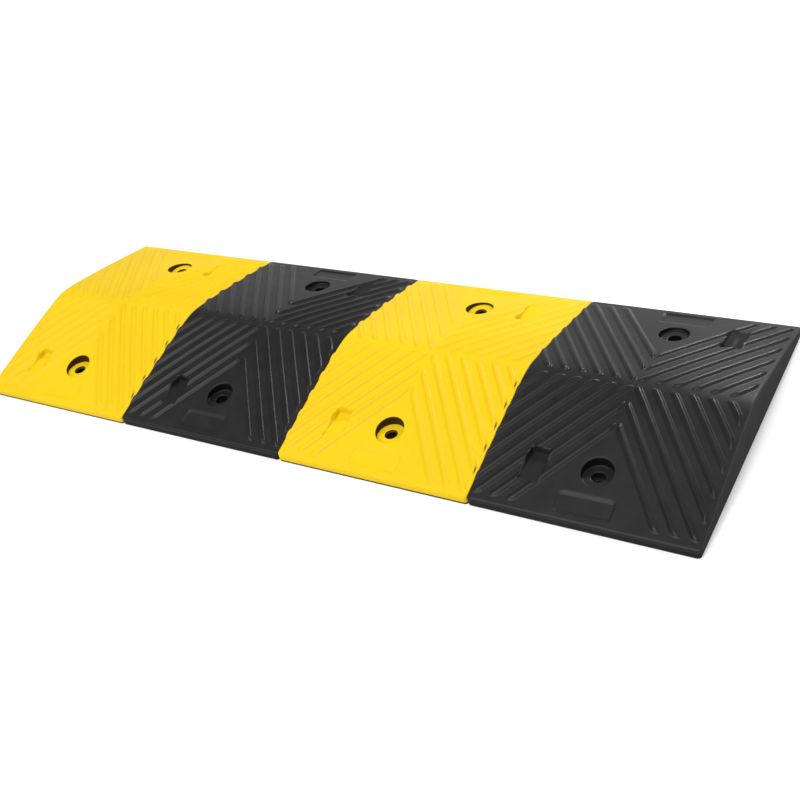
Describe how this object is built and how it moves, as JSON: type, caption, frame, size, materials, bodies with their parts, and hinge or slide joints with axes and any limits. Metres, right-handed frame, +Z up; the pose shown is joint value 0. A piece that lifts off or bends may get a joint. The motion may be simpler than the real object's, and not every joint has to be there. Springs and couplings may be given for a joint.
{
  "type": "rubber speed bump",
  "caption": "Sectional rubber speed bump in alternating yellow and black bolt-down modules, with diagonal anti-skid ribs on both ramps.",
  "frame": {"origin": "middle of the footprint, on the road surface under the crest", "axes": "+X along the bump across the lane, +Y in the direction of travel away from the viewer, +Z up from the road"},
  "size_m": [0.9998, 0.35, 0.0499],
  "materials": {
    "yellow_rubber": "satin moulded rubber",
    "black_rubber": "satin moulded rubber",
    "washer_steel": "plain zinc-plated"
  },
  "bodies": {
    "root": {"module_1_black_base": "black_rubber", "module_1_yellow_tread": "yellow_rubber", "module_1_front_washer": "washer_steel", "module_1_back_washer": "washer_steel", "module_2_black_body": "black_rubber", "module_2_front_washer": "washer_steel", "module_2_back_washer": "washer_steel", "module_3_black_base": "black_rubber", "module_3_yellow_tread": "yellow_rubber", "module_3_front_washer": "washer_steel", "module_3_back_washer": "washer_steel", "module_4_black_body": "black_rubber", "module_4_front_washer": "washer_steel", "module_4_back_washer": "washer_steel"}
  },
  "joints": []
}
